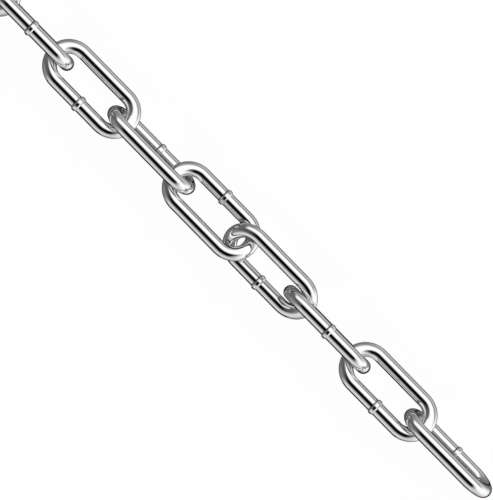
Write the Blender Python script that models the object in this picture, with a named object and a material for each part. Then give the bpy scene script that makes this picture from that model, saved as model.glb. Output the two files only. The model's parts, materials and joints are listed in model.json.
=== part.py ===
"""A metre of welded long-link steel chain, laid out straight on a level floor.

Metres, +Z up. The chain runs along X with its middle over the origin, and the floor is z = 0. Every link
is one round wire bent to a stadium and welded shut. Each one hangs in the eye of the link before it.
"""

import math

import bpy

WIRE = 0.010
INNER_LENGTH = 0.060
OUTER_WIDTH = 0.038
LINKS = 17

# Clear space between the wires of two links pulled taut, and the play they are then let back by.
CONTACT_GAP = 0.0003
SLACK = 0.0008

# Each link in the row of five that repeats, from the +X end on. The lean is the angle in degrees that the
# welded leg stands above level, seen from the +X end. The offset is that of the weld from mid-leg.
LEANS = (-120.0, 120.0, 48.0, 176.0, -60.0)
WELD_OFFSETS = (0.0042, 0.0011, 0.0017, 0.0, 0.0)

# The weld is a low collar: half its length at the foot, half its length on top, and its height.
WELD_FOOT = 0.0022
WELD_TOP = 0.0011
WELD_RISE = 0.0008

CROWN_STEPS = 10
TWELVE_SIDES = 4

STEEL_COLOUR = (0.72, 0.73, 0.74, 1.0)
STEEL_ROUGHNESS = 0.08

# The wire's centreline: an arc of this radius at each end, and two straight legs between them.
CROWN_RADIUS = (OUTER_WIDTH - WIRE) / 2
HALF_LEG = (INNER_LENGTH + WIRE) / 2 - CROWN_RADIUS
APEX = HALF_LEG + CROWN_RADIUS

# Radius to the corners of a regular twelve-sided section that has the round wire's area.
CORNER_RADIUS = WIRE / 2 * math.sqrt(math.pi / 3)
WELD_SWELL = 1 + WELD_RISE / (WIRE / 2)


def lean(number):
    """The lean of one link in radians, counted from 0 at the +X end."""
    return math.radians(LEANS[number % len(LEANS)])


def pitch(number):
    """Distance between the centres of this link and the one before it.

    Turned far enough apart, two crowns meet at their apexes. With less turn between them they bind
    earlier, at two points beside the apexes, and side is the squared cosine of that point's angle.
    """
    reach = WIRE + CONTACT_GAP
    alike = abs(math.cos(lean(number) - lean(number - 1)))
    spread = 1 - alike
    side = (2 * spread - (reach / CROWN_RADIUS) ** 2) / (spread * (2 - spread))
    arc_centres = 2 * CROWN_RADIUS - reach
    if side < 1:
        arc_centres = CROWN_RADIUS * (1 + alike) * math.sqrt(side)
    return 2 * HALF_LEG + arc_centres - SLACK


def crown(end):
    """Places round one crown, as (x, y, swell), anticlockwise. The end is +1 or -1."""
    places = []
    for step in range(CROWN_STEPS + 1):
        angle = math.pi * (step / CROWN_STEPS - 0.5)
        along = HALF_LEG + CROWN_RADIUS * math.cos(angle)
        across = CROWN_RADIUS * math.sin(angle)
        places.append((end * along, end * across, 1.0))
    return places


def weld(offset):
    """Places along the collar on the +Y leg, running towards -X."""
    profile = ((WELD_FOOT, 1.0), (WELD_TOP, WELD_SWELL), (-WELD_TOP, WELD_SWELL), (-WELD_FOOT, 1.0))
    return [(offset + along, CROWN_RADIUS, swell) for along, swell in profile]


def bright_steel():
    steel = bpy.data.materials.new("bright_steel")
    steel.use_nodes = True
    shader = steel.node_tree.nodes["Principled BSDF"]
    shader.inputs["Base Color"].default_value = STEEL_COLOUR
    shader.inputs["Metallic"].default_value = 1.0
    shader.inputs["Roughness"].default_value = STEEL_ROUGHNESS
    return steel


def link_curve(weld_offset, material):
    """One link's wire: a closed curve with a twelve-sided bevel that swells at the weld."""
    curve = bpy.data.curves.new("link_wire", "CURVE")
    curve.dimensions = "3D"
    curve.bevel_depth = CORNER_RADIUS
    curve.bevel_resolution = TWELVE_SIDES
    places = crown(1) + weld(weld_offset) + crown(-1)
    spline = curve.splines.new("POLY")
    spline.points.add(len(places) - 1)
    for point, (x, y, swell) in zip(spline.points, places):
        point.co = (x, y, 0.0, 1.0)
        point.radius = swell
    spline.use_cyclic_u = True
    spline.use_smooth = True
    curve.materials.append(material)
    return curve


def new_collection(name):
    collection = bpy.data.collections.new(name)
    bpy.context.scene.collection.children.link(collection)
    return collection


def add_hinge(collection, number, parent):
    """An empty in the middle of the parent's crown wire. The link turns about its Z, square to its plane."""
    hinge = bpy.data.objects.new(f"hinge_{number + 1:02d}", None)
    hinge.empty_display_size = WIRE
    hinge.parent = parent
    hinge.location = (-APEX, 0.0, 0.0)
    hinge.rotation_euler = (lean(number) - lean(number - 1), 0.0, 0.0)
    collection.objects.link(hinge)
    return hinge


def add_link(collection, curve, number):
    link = bpy.data.objects.new(f"link_{number + 1:02d}", curve)
    collection.objects.link(link)
    return link


def build_chain():
    collection = new_collection("steel_chain")
    steel = bright_steel()
    curves = [link_curve(offset, steel) for offset in WELD_OFFSETS]
    span = sum(pitch(number) for number in range(1, LINKS))
    lowest_leg = CROWN_RADIUS * min(math.sin(lean(number)) for number in range(LINKS))
    axis_height = CORNER_RADIUS * WELD_SWELL - lowest_leg
    before = None
    for number in range(LINKS):
        link = add_link(collection, curves[number % len(curves)], number)
        if before is None:
            link.location = (span / 2, 0.0, axis_height)
            link.rotation_euler = (lean(number), 0.0, 0.0)
        else:
            link.parent = add_hinge(collection, number, before)
            link.location = (APEX - pitch(number), 0.0, 0.0)
        before = link


for old in list(bpy.data.objects):
    bpy.data.objects.remove(old)
build_chain()
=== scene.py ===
# %% [markdown]
# # A length of polished steel chain
#
# The chain is stock sold by the metre: round wire bent into long links, each one closed by a weld.
# The frame brings the plain links at their real size and place. This script gives them their round
# wire, their weld beads and their polish, and sets up the studio that the polish mirrors.

# %% Tools and frame
import json
import math

import bpy
import numpy as np
from mathutils import Matrix, Vector


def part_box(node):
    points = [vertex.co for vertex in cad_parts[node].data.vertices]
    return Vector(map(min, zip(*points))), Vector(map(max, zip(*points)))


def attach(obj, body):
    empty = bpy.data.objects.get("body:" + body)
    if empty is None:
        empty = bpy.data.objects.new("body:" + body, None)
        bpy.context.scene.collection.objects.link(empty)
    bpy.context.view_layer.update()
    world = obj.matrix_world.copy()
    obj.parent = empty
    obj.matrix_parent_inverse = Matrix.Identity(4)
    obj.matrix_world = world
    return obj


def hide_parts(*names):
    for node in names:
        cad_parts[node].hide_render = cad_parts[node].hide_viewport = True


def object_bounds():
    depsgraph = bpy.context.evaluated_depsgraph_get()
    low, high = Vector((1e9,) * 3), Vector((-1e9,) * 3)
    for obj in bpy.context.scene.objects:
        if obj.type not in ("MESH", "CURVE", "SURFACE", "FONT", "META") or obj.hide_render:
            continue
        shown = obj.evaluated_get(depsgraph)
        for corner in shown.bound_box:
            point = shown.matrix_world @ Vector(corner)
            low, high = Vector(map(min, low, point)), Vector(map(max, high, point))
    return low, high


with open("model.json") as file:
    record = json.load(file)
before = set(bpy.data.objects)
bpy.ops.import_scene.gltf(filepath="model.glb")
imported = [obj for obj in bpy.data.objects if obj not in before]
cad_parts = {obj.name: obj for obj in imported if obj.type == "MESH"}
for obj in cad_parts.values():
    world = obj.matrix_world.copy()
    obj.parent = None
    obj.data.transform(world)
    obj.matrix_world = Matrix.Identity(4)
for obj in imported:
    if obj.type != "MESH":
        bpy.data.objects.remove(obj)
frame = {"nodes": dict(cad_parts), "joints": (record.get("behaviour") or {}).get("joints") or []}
cad_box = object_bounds()
cad_size = (cad_box[1] - cad_box[0]) * 1000
print("the plain chain measures", [round(side, 1) for side in cad_size], "mm")

# %% [markdown]
# ## The sizes that this script adds
#
# The plain links have twelve flat sides and a blocky weld collar. The real wire is round, and its weld
# is a smooth bead that stands a little proud. These are the round wire's size, the bead's two and the
# link's two. They could be read off the plain links, but flat sides give no true radius. Where a link
# lies, how far it leans and which leg carries the weld are measured on the frame further down, so the
# plain and the finished links can't drift apart.

# %% Sizes
WIRE = 0.010
BEAD_HALF_LENGTH = 0.0020
BEAD_RISE = 0.00093
LINK_LENGTH = 0.080
LINK_WIDTH = 0.038

link_names = sorted(frame["nodes"])
print(len(link_names), "links, from", link_names[0], "to", link_names[-1])

# %% [markdown]
# ## Measure how each link lies
#
# All the links are centred on one straight axis, at the hinges' height. The collar's corners are the
# farthest of a link's points from that axis. Their middle says how the welded leg leans, and how far
# along the leg the weld sits. A typed list of angles would do as well, until the plain chain changed.

# %% Measure the links
SAME_REACH = 1e-5

axis_height = frame["joints"][0]["pos_m"][2]


def measure_link(name):
    """Centre, lean in radians and weld offset of one plain link."""
    low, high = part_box(name)
    mesh = frame["nodes"][name].data
    points = np.array([vertex.co for vertex in mesh.vertices])
    reach = np.hypot(points[:, 1], points[:, 2] - axis_height)
    collar = points[reach > reach.max() - SAME_REACH].mean(axis=0)
    centre = Vector(((low.x + high.x) / 2, 0.0, axis_height))
    lean = math.atan2(collar[2] - axis_height, collar[1])
    return centre, lean, collar[0] - centre.x


lay = {name: measure_link(name) for name in link_names}
for name in link_names[:5]:
    centre, lean, offset = lay[name]
    degrees = round(math.degrees(lean))
    print(f"{name} is at x {centre.x:.4f}, leans {degrees} degrees, weld {offset * 1000:+.1f} mm")

# %% [markdown]
# ## Helpers for node trees
#
# A node tree is easier to read when a node is made, set and wired in one line. These helpers do
# that for the links, the steel and the light alike.


# %% Node helpers
def add_node(tree, kind, inputs=None, **settings):
    """A new node, with its settings, and with its inputs wired to sockets or set to values."""
    node = tree.nodes.new(kind)
    for setting, value in settings.items():
        setattr(node, setting, value)
    for key, value in (inputs or {}).items():
        if isinstance(value, bpy.types.NodeSocket):
            tree.links.new(value, node.inputs[key])
        else:
            node.inputs[key].default_value = value
    return node


def math_node(tree, operation, *values):
    """The result of one sum, on sockets or plain numbers."""
    return add_node(tree, "ShaderNodeMath", dict(enumerate(values)), operation=operation).outputs[0]


def smooth_step(tree, value, start, end):
    """0 before start and 1 after end, with soft shoulders. The start may be above the end."""
    settings = {"Value": value, "From Min": start, "From Max": end}
    return add_node(tree, "ShaderNodeMapRange", settings, interpolation_type="SMOOTHSTEP").outputs[0]


def mix(tree, mask, first, second):
    """The first colour where the mask is 0, the second where it is 1."""
    return add_node(tree, "ShaderNodeMix", {0: mask, 6: first, 7: second}, data_type="RGBA").outputs[2]


# %% [markdown]
# ## The link's middle line, in Geometry Nodes
#
# A link is a wire swept along a stadium: two straight legs and two half-round crowns. The outline could
# be typed in point by point. A rectangle whose corners are filleted by half its height is exactly that
# shape, so no point has to be placed by hand, and the length and the width stay inputs of the tree.

# %% The middle line
CORNER_STEPS = 64


def middle_line(tree, size):
    """The closed middle line of the wire, its whole length, and how far along it the weld is."""
    across = math_node(tree, "SUBTRACT", size["Width"], size["Wire"])
    along = math_node(tree, "SUBTRACT", size["Length"], size["Wire"])
    crown_radius = math_node(tree, "MULTIPLY", across, 0.5)
    sides = {"Width": along, "Height": across}
    rectangle = add_node(tree, "GeometryNodeCurvePrimitiveQuadrilateral", sides).outputs["Curve"]
    fillet = {"Curve": rectangle, "Radius": crown_radius, "Limit Radius": True, "Count": CORNER_STEPS}
    stadium = add_node(tree, "GeometryNodeFilletCurve", fillet, mode="POLY").outputs["Curve"]
    whole_way = add_node(tree, "GeometryNodeCurveLength", {"Curve": stadium}).outputs["Length"]

    # The outline starts at the +X crown's apex, so the weld is a quarter turn and half a leg further on.
    quarter_turn = math_node(tree, "MULTIPLY", crown_radius, math.pi / 2)
    half_leg = math_node(tree, "SUBTRACT", math_node(tree, "MULTIPLY", along, 0.5), crown_radius)
    mid_leg = math_node(tree, "ADD", quarter_turn, half_leg)
    weld_at = math_node(tree, "SUBTRACT", mid_leg, size["Weld Offset"])
    return stadium, whole_way, weld_at


print("each of the outline's four corners has", CORNER_STEPS, "steps")

# %% [markdown]
# ## Rings that crowd at the weld
#
# The sweep starts and ends at the weld, as the real wire does. Rings at even distances would be too far
# apart for the bead's steep feet, and more rings everywhere would be waste. So each ring's share of the
# way round is warped by a sine, which draws the rings together at the weld.

# %% The rings' places
CROWDING = 0.8


def ring_places(tree, size, stadium, whole_way, weld_at):
    """The middle line with one point for each ring, and how far each point has travelled from the weld."""
    index = add_node(tree, "GeometryNodeInputIndex").outputs[0]
    share = math_node(tree, "DIVIDE", index, size["Rings"])
    ripple = math_node(tree, "SINE", math_node(tree, "MULTIPLY", share, 2 * math.pi))
    warp = math_node(tree, "MULTIPLY", ripple, CROWDING / (2 * math.pi))
    travelled = math_node(tree, "MULTIPLY", math_node(tree, "SUBTRACT", share, warp), whole_way)
    at = math_node(tree, "MODULO", math_node(tree, "ADD", travelled, weld_at), whole_way)
    sampled = {"Curves": stadium, "Length": at}
    place = add_node(tree, "GeometryNodeSampleCurve", sampled, mode="LENGTH").outputs["Position"]

    # Any line will do to start from: its points are moved to the rings' places and its ends are joined.
    path = add_node(tree, "GeometryNodeCurvePrimitiveLine").outputs["Curve"]
    path = add_node(tree, "GeometryNodeResampleCurve", {"Curve": path, "Count": size["Rings"]}).outputs[0]
    path = add_node(tree, "GeometryNodeSetPosition", {"Geometry": path, "Position": place}).outputs[0]
    path = add_node(tree, "GeometryNodeSetSplineCyclic", {"Geometry": path, "Cyclic": True}).outputs[0]
    path = add_node(tree, "GeometryNodeSetCurveNormal", {"Curve": path}, mode="Z_UP").outputs[0]
    return path, travelled


print("rings at the weld are", round(1 / (1 - CROWDING)), "times as close together as the mean")

# %% [markdown]
# ## The weld bead
#
# The two ends of the wire were pressed together hot, and the metal that came out was trimmed to a low
# bead. It could be a ring of its own, but then a seam would show at each foot. Here it is a swelling of
# the wire's own radius, full on top and steep enough at its feet to leave a crisp crease. The tree also
# keeps each ring's distance from the weld, for the bead's duller polish and the painted shade at one foot
# that the steel's material puts there.

# %% The bead
BEAD_FULLNESS = 3.0


def weld_bead(tree, size, travelled, whole_way):
    """How many times its radius the wire has at each ring, and the ring's distance from the weld."""
    to_weld = math_node(tree, "MINIMUM", travelled, math_node(tree, "SUBTRACT", whole_way, travelled))
    way_down = math_node(tree, "DIVIDE", to_weld, size["Bead Half Length"])
    fall = math_node(tree, "POWER", math_node(tree, "MINIMUM", way_down, 1.0), BEAD_FULLNESS)
    rise = math_node(tree, "MULTIPLY", size["Bead Rise"], math_node(tree, "SUBTRACT", 1.0, fall))
    radius = math_node(tree, "MULTIPLY", size["Wire"], 0.5)
    swell = math_node(tree, "ADD", 1.0, math_node(tree, "DIVIDE", rise, radius))

    # The kept distance is positive towards the -X end of the link and negative the other way.
    halfway = math_node(tree, "MULTIPLY", whole_way, 0.5)
    second_half = math_node(tree, "GREATER_THAN", travelled, halfway)
    from_weld = math_node(tree, "SUBTRACT", travelled, math_node(tree, "MULTIPLY", whole_way, second_half))
    return swell, from_weld


print("the bead makes the wire", round((WIRE + 2 * BEAD_RISE) * 1000, 2), "mm thick at the weld")

# %% [markdown]
# ## One tree for every link
#
# The tree sweeps a circle along the rings' places, scaled by the bead, then leans the link over and
# sets it down where the plain one lies. Seventeen links modelled by hand would all be slightly
# different in what should be equal. With one tree only the place, the lean and the weld's offset change.

# %% Tree for a link
LINK_INPUTS = (
    ("Wire", "NodeSocketFloat"),
    ("Length", "NodeSocketFloat"),
    ("Width", "NodeSocketFloat"),
    ("Bead Half Length", "NodeSocketFloat"),
    ("Bead Rise", "NodeSocketFloat"),
    ("Weld Offset", "NodeSocketFloat"),
    ("Lean", "NodeSocketFloat"),
    ("Centre", "NodeSocketVector"),
    ("Rings", "NodeSocketInt"),
    ("Sides", "NodeSocketInt"),
    ("Steel", "NodeSocketMaterial"),
)


def keep_value(tree, geometry, name, value, data_type):
    """The geometry with a value kept on its points under a name."""
    stored = {"Geometry": geometry, "Name": name, "Value": value}
    return add_node(tree, "GeometryNodeStoreNamedAttribute", stored, data_type=data_type).outputs[0]


def link_tree():
    tree = bpy.data.node_groups.new("chain_link", "GeometryNodeTree")
    for name, kind in LINK_INPUTS:
        tree.interface.new_socket(name, in_out="INPUT", socket_type=kind)
    tree.interface.new_socket("Link", in_out="OUTPUT", socket_type="NodeSocketGeometry")
    size = tree.nodes.new("NodeGroupInput").outputs

    stadium, whole_way, weld_at = middle_line(tree, size)
    path, travelled = ring_places(tree, size, stadium, whole_way, weld_at)
    swell, from_weld = weld_bead(tree, size, travelled, whole_way)
    path = keep_value(tree, path, "from_weld", from_weld, "FLOAT")

    ring = {"Resolution": size["Sides"], "Radius": math_node(tree, "MULTIPLY", size["Wire"], 0.5)}
    section = add_node(tree, "GeometryNodeCurvePrimitiveCircle", ring).outputs["Curve"]
    on_ring = add_node(tree, "GeometryNodeInputPosition").outputs[0]
    section = keep_value(tree, section, "on_section", on_ring, "FLOAT_VECTOR")
    swept = {"Curve": path, "Profile Curve": section, "Scale": swell}
    wire = add_node(tree, "GeometryNodeCurveToMesh", swept).outputs["Mesh"]
    wire = add_node(tree, "GeometryNodeSetShadeSmooth", {"Geometry": wire}).outputs[0]

    turn = add_node(tree, "ShaderNodeCombineXYZ", {"X": size["Lean"]}).outputs[0]
    placed = {"Geometry": wire, "Translation": size["Centre"], "Rotation": turn}
    link = add_node(tree, "GeometryNodeTransform", placed).outputs["Geometry"]
    link = add_node(tree, "GeometryNodeRealizeInstances", {"Geometry": link}).outputs[0]
    covered = {"Geometry": link, "Material": size["Steel"]}
    link = add_node(tree, "GeometryNodeSetMaterial", covered).outputs[0]
    add_node(tree, "NodeGroupOutput", {"Link": link})
    return tree


chain_link = link_tree()
print("the link's tree has", len(chain_link.nodes), "nodes")

# %% [markdown]
# ## The marks on polished steel, and painted shade at the weld bead
#
# Three small things keep the real steel from looking like glass. Drawing the wire through its die left
# faint lines along it, the polish has a haze that changes from place to place, and the weld takes less
# polish than the wire. A fourth mark is painted shade: a thin dark line in the crease at one foot of the
# bead, the foot that faces away from the light, while the other foot is left clean. Photographs of
# scratches could give all this, but they blur close up. A shared node group works it out from the point's
# place instead.

# %% Shared effect: polishing marks and painted crease shade
MARK_INPUTS = (
    ("Along", "NodeSocketVector"),
    ("Around", "NodeSocketVector"),
    ("From Weld", "NodeSocketFloat"),
    ("Clean", "NodeSocketFloat"),
    ("Haze", "NodeSocketFloat"),
    ("Bead Haze", "NodeSocketFloat"),
    ("Bead Foot", "NodeSocketFloat"),
)
CLOUD_SCALE = 60.0
CLOUD_DETAIL = 3.0
CLOUD_FADE = (0.35, 0.7)
DIE_LINE_SCALE = 900.0
DIE_LINE_DETAIL = 2.0
BEAD_FADE = (0.0030, 0.0018)
# Painted shade: where the dark line in the crease just past one foot of the bead starts and ends.
SHADE_LINE_STARTS = (-0.0002, 0.0)
SHADE_LINE_ENDS = (0.0006, 0.0004)


def polish_and_shade_group():
    group = bpy.data.node_groups.new("polishing_marks_and_shade", "ShaderNodeTree")
    for name, kind in MARK_INPUTS:
        group.interface.new_socket(name, in_out="INPUT", socket_type=kind)
    for name in ("Crease Shade", "Roughness", "Height"):
        group.interface.new_socket(name, in_out="OUTPUT", socket_type="NodeSocketFloat")
    given = group.nodes.new("NodeGroupInput").outputs

    clouds = {"Vector": given["Along"], "Scale": CLOUD_SCALE, "Detail": CLOUD_DETAIL}
    cloudy = add_node(group, "ShaderNodeTexNoise", clouds).outputs["Fac"]
    lines = {"Vector": given["Around"], "Scale": DIE_LINE_SCALE, "Detail": DIE_LINE_DETAIL}
    die_lines = add_node(group, "ShaderNodeTexNoise", lines).outputs["Fac"]

    haze = math_node(group, "MULTIPLY", smooth_step(group, cloudy, *CLOUD_FADE), given["Haze"])
    to_weld = math_node(group, "ABSOLUTE", given["From Weld"])
    dull = math_node(group, "MULTIPLY", smooth_step(group, to_weld, *BEAD_FADE), given["Bead Haze"])
    roughness = math_node(group, "ADD", given["Clean"], math_node(group, "ADD", haze, dull))

    # Painted shade: a thin dark line in the crease just past one foot of the bead, not a tool mark.
    past_foot = math_node(group, "SUBTRACT", given["From Weld"], given["Bead Foot"])
    shade_line_starts = smooth_step(group, past_foot, *SHADE_LINE_STARTS)
    crease_shade = math_node(group, "MULTIPLY", shade_line_starts, smooth_step(group, past_foot, *SHADE_LINE_ENDS))
    add_node(group, "NodeGroupOutput", {"Crease Shade": crease_shade, "Roughness": roughness, "Height": die_lines})
    return group


polishing_marks_and_shade = polish_and_shade_group()
marks_out = [item.name for item in polishing_marks_and_shade.interface.items_tree if item.in_out == "OUTPUT"]
print("the polishing marks put out", marks_out)

# %% [markdown]
# ## The steel
#
# The steel is bright all over, with no rust, and mirrors its surroundings nearly cleanly. One grey metal
# would nearly do. The marks add what makes it real, a painted shade darkens the crease at one foot of the
# weld bead, and the specular tint darkens the mirror just before the wire's rim, which draws each wire's
# edge against the white ground.

# %% The steel
CLEAN_STEEL = (0.875, 0.883, 0.885, 1.0)
# Painted shade: the dark colour of the line in the crease at one foot of the weld bead.
CREASE_SHADE_STEEL = (0.15, 0.15, 0.155, 1.0)
RIM_TINT = (0.4, 0.4, 0.4, 1.0)
CLEAN_ROUGHNESS = 0.05
HAZE_ROUGHNESS = 0.03
BEAD_ROUGHNESS = 0.04
DIE_LINE_STRENGTH = 0.04
DIE_LINE_DEPTH = 0.0001


def polished_steel():
    material = bpy.data.materials.new("polished_steel")
    material.use_nodes = True
    tree = material.node_tree
    shader = tree.nodes["Principled BSDF"]
    shader.inputs["Metallic"].default_value = 1.0
    shader.inputs["Specular Tint"].default_value = RIM_TINT
    given = {
        "Along": add_node(tree, "ShaderNodeTexCoord").outputs["Object"],
        "Around": add_node(tree, "ShaderNodeAttribute", attribute_name="on_section").outputs["Vector"],
        "From Weld": add_node(tree, "ShaderNodeAttribute", attribute_name="from_weld").outputs["Fac"],
        "Clean": CLEAN_ROUGHNESS,
        "Haze": HAZE_ROUGHNESS,
        "Bead Haze": BEAD_ROUGHNESS,
        "Bead Foot": BEAD_HALF_LENGTH,
    }
    marks = add_node(tree, "ShaderNodeGroup", given, node_tree=polishing_marks_and_shade).outputs
    # The painted shade line in the bead's crease is mixed into the steel's own colour here.
    colour = mix(tree, marks["Crease Shade"], CLEAN_STEEL, CREASE_SHADE_STEEL)
    tree.links.new(colour, shader.inputs["Base Color"])
    tree.links.new(marks["Roughness"], shader.inputs["Roughness"])
    lines = {"Height": marks["Height"], "Strength": DIE_LINE_STRENGTH, "Distance": DIE_LINE_DEPTH}
    bump = add_node(tree, "ShaderNodeBump", lines).outputs["Normal"]
    tree.links.new(bump, shader.inputs["Normal"])
    return material


steel = polished_steel()
print(steel.name, "is", len(steel.node_tree.nodes), "nodes")

# %% [markdown]
# ## Make the links
#
# Each link moves on its own, so each one has to be a mesh of its own: a single object that repeats
# links along the chain could not be folded. The tree runs once for each and the result becomes a plain
# mesh. The modifier's inputs are set by their sockets' identifiers, before the object is first evaluated.

# %% Make the links
RINGS = 240
SIDES = 32


def tree_input(name):
    return next(item.identifier for item in chain_link.interface.items_tree if item.name == name)


def make_link(name, centre, lean, offset):
    maker = bpy.data.objects.new("maker", bpy.data.meshes.new("maker"))
    bpy.context.scene.collection.objects.link(maker)
    modifier = maker.modifiers.new("chain_link", "NODES")
    modifier.node_group = chain_link
    values = {
        "Wire": WIRE,
        "Length": LINK_LENGTH,
        "Width": LINK_WIDTH,
        "Bead Half Length": BEAD_HALF_LENGTH,
        "Bead Rise": BEAD_RISE,
        "Weld Offset": float(offset),
        "Lean": lean,
        "Centre": centre,
        "Rings": RINGS,
        "Sides": SIDES,
        "Steel": steel,
    }
    for key, value in values.items():
        modifier[tree_input(key)] = value
    shape = bpy.data.meshes.new_from_object(maker.evaluated_get(bpy.context.evaluated_depsgraph_get()))
    bpy.data.objects.remove(maker)
    link = bpy.data.objects.new("polished_" + name, shape)
    bpy.context.scene.collection.objects.link(link)
    return link


for name in link_names:
    link = make_link(name, *lay[name])
    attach(link, name)
    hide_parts(name)
print(len(link_names), "links of", len(link.data.polygons), "faces each")

# %% [markdown]
# ## The camera
#
# The photograph looks square across the chain, from 47 degrees above the floor, and is rolled so that
# the chain runs from the top left to the bottom right. It shows no perspective, so the camera stands
# far off with a very long lens. It could be set by eye. Here the end link's centre in the photograph
# fixes the place and the spacing of the links fixes the scale, so the whole row falls into line.

# %% Camera
PHOTO_WIDTH = 493
PHOTO_HEIGHT = 500
END_LINK_PIXEL = (448.0, 453.1)
PIXELS_PER_FIVE_LINKS = 424.0
CHAIN_SLOPE = math.radians(45.622)
VIEW_ELEVATION = math.radians(47)
CAMERA_DISTANCE = 10.0
CAMERA_REACH = 200.0
SENSOR = 36.0

chain_way = Vector((1, 0, 0))
sight = Vector((0, math.cos(VIEW_ELEVATION), math.sin(VIEW_ELEVATION)))
across_way = Vector((0, math.sin(VIEW_ELEVATION), -math.cos(VIEW_ELEVATION)))
right = math.cos(CHAIN_SLOPE) * chain_way + math.sin(CHAIN_SLOPE) * across_way
up = math.cos(CHAIN_SLOPE) * across_way - math.sin(CHAIN_SLOPE) * chain_way

five_links = lay["link_01"][0].x - lay["link_06"][0].x
metres_per_pixel = five_links / PIXELS_PER_FIVE_LINKS
to_right = (END_LINK_PIXEL[0] - PHOTO_WIDTH / 2) * metres_per_pixel
to_bottom = (END_LINK_PIXEL[1] - PHOTO_HEIGHT / 2) * metres_per_pixel
target = lay["link_01"][0] - to_right * right + to_bottom * up

camera = bpy.data.cameras.new("camera")
camera.sensor_width = SENSOR
camera.lens = SENSOR * CAMERA_DISTANCE / (PHOTO_HEIGHT * metres_per_pixel)
camera.clip_end = CAMERA_REACH
camera_object = bpy.data.objects.new("camera", camera)
turned = Matrix((right, up, sight)).transposed().to_4x4()
camera_object.matrix_world = Matrix.Translation(target + CAMERA_DISTANCE * sight) @ turned
bpy.context.scene.collection.objects.link(camera_object)
bpy.context.scene.camera = camera_object
print(f"the lens is {camera.lens:.0f} mm and a pixel is {metres_per_pixel * 1000:.3f} mm")

# %% [markdown]
# ## The room round the chain
#
# Polished steel shows nothing but its surroundings, so the room is most of its look. Lamps and cards
# could build it. Painted on the world by direction, it is soft all over, and it stays where it is when
# the camera moves. Each table goes once round the chain: from straight behind it, overhead, to the lens
# at 0 degrees, and on past the floor in front. It is grey behind, light overhead, black just above the
# lens and white just below it, then a darker gap, a paler stretch and grey again. That gives the
# straight legs their bands. The second table is the same walk in the dark end of the room.

# %% The room by angle
# Angle from the line of sight towards the floor in front, in degrees, and the brightness there.
MIDDLE_OF_ROOM = (
    (-180, 0.30),
    (-134, 0.30),
    (-120, 0.40),
    (-96, 0.72),
    (-78, 0.78),
    (-60, 0.56),
    (-51, 0.30),
    (-43, 0.10),
    (-36, 0.010),
    (-30, 0.001),
    (-6, 0.001),
    (-1, 0.03),
    (4, 0.17),
    (10, 0.60),
    (15, 1.00),
    (21, 1.14),
    (50, 1.14),
    (60, 0.95),
    (68, 0.50),
    (76, 0.27),
    (84, 0.27),
    (94, 0.58),
    (104, 0.68),
    (112, 0.56),
    (126, 0.34),
    (180, 0.30),
)
DARK_END_OF_ROOM = (
    (-180, 0.22),
    (-136, 0.22),
    (-116, 0.22),
    (-80, 0.26),
    (-60, 0.20),
    (-43, 0.12),
    (-20, 0.10),
    (-3, 0.12),
    (5, 0.35),
    (12, 0.70),
    (20, 1.10),
    (50, 1.10),
    (60, 0.80),
    (72, 0.40),
    (92, 0.28),
    (116, 0.24),
    (136, 0.22),
    (180, 0.22),
)


def grey(brightness):
    return (brightness, brightness, brightness, 1.0)


def ramp(tree, turn, stops_wanted):
    """Brightness by a turn from 0 to 1, through the wanted stops."""
    node = add_node(tree, "ShaderNodeValToRGB", {"Fac": turn})
    node.color_ramp.interpolation = "EASE"
    stops = node.color_ramp.elements
    while len(stops) < len(stops_wanted):
        stops.new(0.5)
    for stop, (degrees, brightness) in zip(stops, stops_wanted):
        stop.position = degrees / 360 + 0.5
        stop.color = grey(brightness)
    return node.outputs["Color"]


def slide(tree, value, start, end):
    """A straight slide between two pairs of value and result, level outside them."""
    (low, at_low), (high, at_high) = start, end
    settings = {"Value": value, "From Min": low, "From Max": high, "To Min": at_low, "To Max": at_high}
    return add_node(tree, "ShaderNodeMapRange", settings).outputs[0]


print("the room's tables have", len(MIDDLE_OF_ROOM), "and", len(DARK_END_OF_ROOM), "stops")

# %% [markdown]
# ## The two ends of the room
#
# The crowns turn away sideways, so they mirror what lies along the chain. Past the visible end it is
# white, paler overhead, and the white reaches a little way round behind the chain. The other way the
# room is dark. One table for the whole room would be simpler, but then both crowns of a link would look
# the same, which they don't. Each fade is a share of the way from sideways (0) to straight along (1).

# %% The ends of the room
DARK_END_FADE = (-0.1, -0.6)
FAR_END_FADE = (-0.78, -0.92)
FAR_END_GREY = 0.14
WHITE_END_FADE = (0.52, 0.97)
WHITE_END_OVERHEAD = (-0.8, 0.55)
WHITE_END_BELOW = (0.0, 1.14)
REACH_BEHIND = (-0.7, 0.25)
REACH_BESIDE = (0.0, 0.0)


def paint_ends(tree, light, dark_end, toward):
    """Lay the dark end and the white end of the room over the light of its middle."""
    light = mix(tree, smooth_step(tree, toward["end"], *DARK_END_FADE), light, dark_end)
    light = mix(tree, smooth_step(tree, toward["end"], *FAR_END_FADE), light, grey(FAR_END_GREY))
    white = slide(tree, toward["front"], WHITE_END_OVERHEAD, WHITE_END_BELOW)
    reach = slide(tree, toward["lens"], REACH_BEHIND, REACH_BESIDE)
    mask = smooth_step(tree, math_node(tree, "ADD", toward["end"], reach), *WHITE_END_FADE)
    return mix(tree, mask, light, white)


print("the white end is", WHITE_END_OVERHEAD[1], "bright overhead and", WHITE_END_BELOW[1], "below")

# %% [markdown]
# ## Behind the chain
#
# A wire's very edge mirrors what is behind it, and in the photograph each edge is a thin dark line. So
# the room is dark straight behind the chain, and a darker strip, square to the wire, sharpens the line.
# Inner crowns mirror the same place but lower down, where it is grey, and the strip starts sooner
# overhead and tapers towards the floor, so that it leaves no streak on them. Drawn outlines would be
# easier, but they would stay on the wire when the chain is turned.

# %% Behind the chain
BEHIND_FADE = (-0.70, -0.84)
BEHIND_OVERHEAD = (0.10, 0.05)
BEHIND_LOW = (0.35, 0.32)
STRIP_GREY = 0.01
STRIP_FADE = (-0.38, -0.50)
STRIP_SOONER = 0.06
STRIP_EDGE = (0.14, 0.09)
STRIP_TAPER = 0.15


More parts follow.
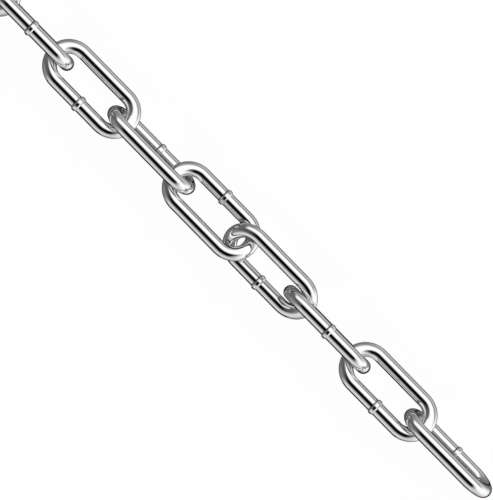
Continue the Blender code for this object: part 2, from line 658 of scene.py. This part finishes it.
def paint_behind(tree, light, toward):
    """Lay the dark patch behind the chain, and its strip, over the light."""
    patch = slide(tree, toward["front"], BEHIND_OVERHEAD, BEHIND_LOW)
    light = mix(tree, smooth_step(tree, toward["lens"], *BEHIND_FADE), light, patch)

    sooner = math_node(tree, "MULTIPLY", toward["front"], STRIP_SOONER)
    starts = smooth_step(tree, math_node(tree, "ADD", toward["lens"], sooner), *STRIP_FADE)
    aside = math_node(tree, "ABSOLUTE", toward["end"])
    taper = math_node(tree, "MULTIPLY", toward["front"], STRIP_TAPER)
    inside = smooth_step(tree, math_node(tree, "ADD", aside, taper), *STRIP_EDGE)
    return mix(tree, math_node(tree, "MULTIPLY", starts, inside), light, grey(STRIP_GREY))


print("the strip behind is", round(math.degrees(math.asin(STRIP_EDGE[0]))), "degrees wide on either side")

# %% [markdown]
# ## The world
#
# The world's direction is compared with three ways: along the chain, towards the floor in front, and
# towards where the photograph was taken from. Rays that the lens sends straight to the world see plain
# white, as the photograph's ground is, and only mirrored rays see the room.

# %% World
GROUND_WHITE = 0.98


def direction_along(tree, direction, way):
    """How far the direction points along a way, from -1 to 1."""
    node = add_node(tree, "ShaderNodeVectorMath", {0: direction, 1: tuple(way)}, operation="DOT_PRODUCT")
    return node.outputs["Value"]


def studio_world():
    world = bpy.data.worlds.new("studio")
    world.use_nodes = True
    tree = world.node_tree
    tree.nodes.clear()
    direction = add_node(tree, "ShaderNodeTexCoord").outputs["Generated"]
    ways = {"end": chain_way, "front": across_way, "lens": sight}
    toward = {name: direction_along(tree, direction, way) for name, way in ways.items()}

    angle = math_node(tree, "ARCTAN2", toward["front"], toward["lens"])
    turn = math_node(tree, "ADD", math_node(tree, "DIVIDE", angle, 2 * math.pi), 0.5)
    light = ramp(tree, turn, MIDDLE_OF_ROOM)
    light = paint_ends(tree, light, ramp(tree, turn, DARK_END_OF_ROOM), toward)
    light = paint_behind(tree, light, toward)

    seen = add_node(tree, "ShaderNodeLightPath").outputs["Is Camera Ray"]
    shown = mix(tree, seen, light, grey(GROUND_WHITE))
    background = add_node(tree, "ShaderNodeBackground", {"Color": shown, "Strength": 1.0})
    add_node(tree, "ShaderNodeOutputWorld", {"Surface": background.outputs[0]})
    return world


bpy.context.scene.world = studio_world()
bpy.context.scene.view_settings.view_transform = "Standard"
print("the world's tree has", len(bpy.context.scene.world.node_tree.nodes), "nodes")

# %% [markdown]
# ## The floor
#
# The photograph's ground is plain white and shows no shadow. A plain white floor under this light would
# come out grey, so this one mostly glows: that keeps the shadow faint and still seats the chain. The
# world already has the floor's tones as the steel mirrors them, so mirrored rays pass through this floor
# and find the world's lower half.

# %% Floor
FLOOR_HALF = 8.0
FLOOR_GLOW = 0.90
FLOOR_GREY = 0.25


def floor_material():
    material = bpy.data.materials.new("white_floor")
    material.use_nodes = True
    tree = material.node_tree
    tree.nodes.clear()
    glow = add_node(tree, "ShaderNodeEmission", {"Color": grey(1.0), "Strength": FLOOR_GLOW})
    matt = add_node(tree, "ShaderNodeBsdfDiffuse", {"Color": grey(FLOOR_GREY)})
    seen = add_node(tree, "ShaderNodeAddShader", {0: glow.outputs[0], 1: matt.outputs[0]}).outputs[0]
    clear = add_node(tree, "ShaderNodeBsdfTransparent").outputs[0]
    by_camera = add_node(tree, "ShaderNodeLightPath").outputs["Is Camera Ray"]
    surface = add_node(tree, "ShaderNodeMixShader", {0: by_camera, 1: clear, 2: seen}).outputs[0]
    add_node(tree, "ShaderNodeOutputMaterial", {"Surface": surface})
    return material


corner_signs = ((-1, -1), (1, -1), (1, 1), (-1, 1))
corners = [(x * FLOOR_HALF, y * FLOOR_HALF, 0) for x, y in corner_signs]
floor_mesh = bpy.data.meshes.new("floor")
floor_mesh.from_pydata(corners, [], [(0, 1, 2, 3)])
floor_mesh.materials.append(floor_material())
floor = bpy.data.objects.new("floor", floor_mesh)
bpy.context.scene.collection.objects.link(floor)
print("the floor is", 2 * FLOOR_HALF, "m across")
